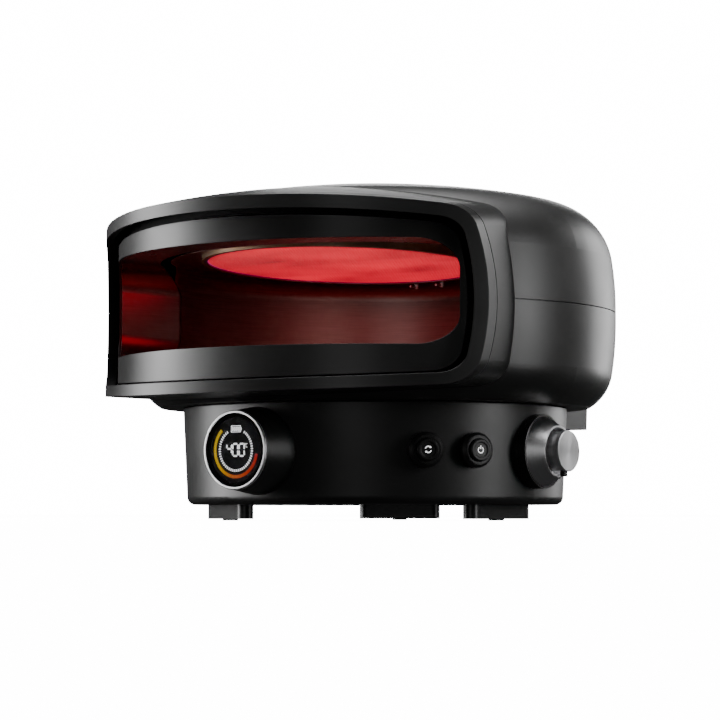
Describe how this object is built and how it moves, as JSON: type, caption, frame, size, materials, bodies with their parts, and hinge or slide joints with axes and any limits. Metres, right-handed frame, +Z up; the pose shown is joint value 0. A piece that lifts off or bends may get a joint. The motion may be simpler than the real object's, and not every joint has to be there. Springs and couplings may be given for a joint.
{
  "type": "countertop pizza oven",
  "caption": "Round gas-fired countertop pizza oven with a wide front mouth, a motor-driven rotating stone, a glowing ceiling burner, a round display, push buttons and a gas knob.",
  "frame": {"origin": "on the surface the oven stands on, under the vertical axis of the round body, at the middle of the footprint", "axes": "+Z up; -Y out of the mouth, so the front faces -Y; +X towards the side with the gas knob"},
  "size_m": [0.4258, 0.476, 0.2928],
  "materials": {
    "satin_shell": "satin black heat-proof enamel",
    "bezel_black": "satin black enamel",
    "groove_black": "matt black",
    "throat_steel": "brushed stainless",
    "cavity_steel": "heat-tinted stainless",
    "insulation": "ceramic fibre",
    "plated_steel": "zinc plated",
    "ceramic_glow": "glowing ceramic",
    "burner_metal": "stainless, blued by heat",
    "probe_steel": "stainless and ceramic",
    "pipe_metal": "drawn aluminium",
    "brass": "machined",
    "rear_box_black": "satin black",
    "knob_black": "moulded, ribbed",
    "knob_steel": "circularly brushed",
    "knob_face": "spun face",
    "stone": "unglazed cordierite",
    "carrier_steel": "stainless",
    "gear_plastic": "acetal",
    "pinion_steel": "cut steel",
    "bronze": "sintered bronze",
    "motor_steel": "plated can",
    "drum_black": "satin black",
    "base_black": "moulded",
    "gasket_rubber": "matt",
    "screw_steel": "zinc plated",
    "foot_plastic": "moulded",
    "display_black": "satin moulded",
    "display_trim": "satin metal trim",
    "display_glass": "smoked glass",
    "display_panel": "lit segments on black",
    "board_green": "solder mask",
    "cell_wrap": "printed wrap without text",
    "button_black": "satin moulded",
    "spring_steel": "spring wire"
  },
  "bodies": {
    "oven": {"upper_shell": "satin_shell", "lower_shell": "satin_shell", "front_visor": "satin_shell", "front_bezel": "bezel_black", "mouth_plate": "bezel_black", "mouth_frame": "groove_black", "mouth_throat": "throat_steel", "cavity_liner": "cavity_steel", "cavity_floor": "cavity_steel", "side_insulation": "insulation", "floor_insulation": "insulation", "bottom_plate": "plated_steel", "burner_plaque": "ceramic_glow", "burner_ring": "burner_metal", "burner_box": "burner_metal", "burner_probes": "probe_steel", "venturi_tube": "burner_metal", "gas_riser": "pipe_metal", "gas_feed": "pipe_metal", "gas_inlet": "brass", "rear_box": "rear_box_black", "gas_valve": "brass", "knob_skirt": "knob_black", "knob_cone": "knob_steel", "bearing_housing": "plated_steel", "shaft_bushes": "bronze", "gear_motor": "motor_steel", "motor_bracket": "plated_steel", "base_drum": "drum_black", "base_floor": "base_black", "body_gasket": "gasket_rubber", "body_screws": "screw_steel", "base_screws": "screw_steel", "feet": "foot_plastic", "foot_pads": "gasket_rubber", "display_housing": "display_black", "display_ring": "display_trim", "display_lens": "display_glass", "display_panel": "display_panel", "button_board": "board_green", "control_board": "board_green", "battery_tray": "base_black", "battery_cells": "cell_wrap", "battery_door_pin": "screw_steel", "rotate_button_bezel": "button_black", "rotate_button_spring": "spring_steel", "power_button_bezel": "button_black", "power_button_spring": "spring_steel"},
    "turntable": {"pizza_stone": "stone", "turntable_carrier": "carrier_steel", "turntable_shaft": "carrier_steel", "drive_gear": "gear_plastic"},
    "motor_output": {"motor_pinion": "pinion_steel"},
    "rotate_button": {"rotate_button_cap": "button_black"},
    "power_button": {"power_button_cap": "button_black"},
    "knob_slider": {"valve_plunger": "plated_steel"},
    "knob": {"valve_stem": "brass", "gas_knob": "knob_face", "knob_pointer": "knob_black"},
    "battery_door": {"battery_door": "drum_black"}
  },
  "joints": [
    {"name": "turntable_spin", "type": "hinge", "parent": "oven", "child": "turntable", "pos_m": [0, 0, 0.1245], "axis": [0, 0, 1], "continuous": true},
    {"name": "motor_spin", "type": "hinge", "parent": "oven", "child": "motor_output", "pos_m": [-0.03967, -0.03967, 0.0445], "axis": [0, 0, 1], "continuous": true},
    {"name": "rotate_button_press", "type": "slide", "parent": "oven", "child": "rotate_button", "axis": [-0.766, 0.6428, 0], "range_m": [0, 0.002], "stiffness_N_per_m": 600, "springref_m": -0.001, "deforming": ["rotate_button_spring"]},
    {"name": "power_button_press", "type": "slide", "parent": "oven", "child": "power_button", "axis": [-0.9063, 0.4226, 0], "range_m": [0, 0.002], "stiffness_N_per_m": 600, "springref_m": -0.001, "deforming": ["power_button_spring"]},
    {"name": "gas_knob_push", "type": "slide", "parent": "oven", "child": "knob_slider", "axis": [-1, 0, 0], "range_m": [0, 0.003], "stiffness_N_per_m": 1500, "springref_m": -0.001},
    {"name": "gas_knob_turn", "type": "hinge", "parent": "knob_slider", "child": "knob", "pos_m": [0.16758, 0, 0.0582], "axis": [-1, 0, 0], "range_deg": [0, 180]},
    {"name": "battery_door_swing", "type": "hinge", "parent": "oven", "child": "battery_door", "pos_m": [-0.16058, 0.06178, 0.0582], "axis": [0, 0, 1], "range_deg": [0, 105]}
  ],
  "couplings": [
    {"joint": "motor_spin", "follows": "turntable_spin", "ratio": -3}
  ]
}
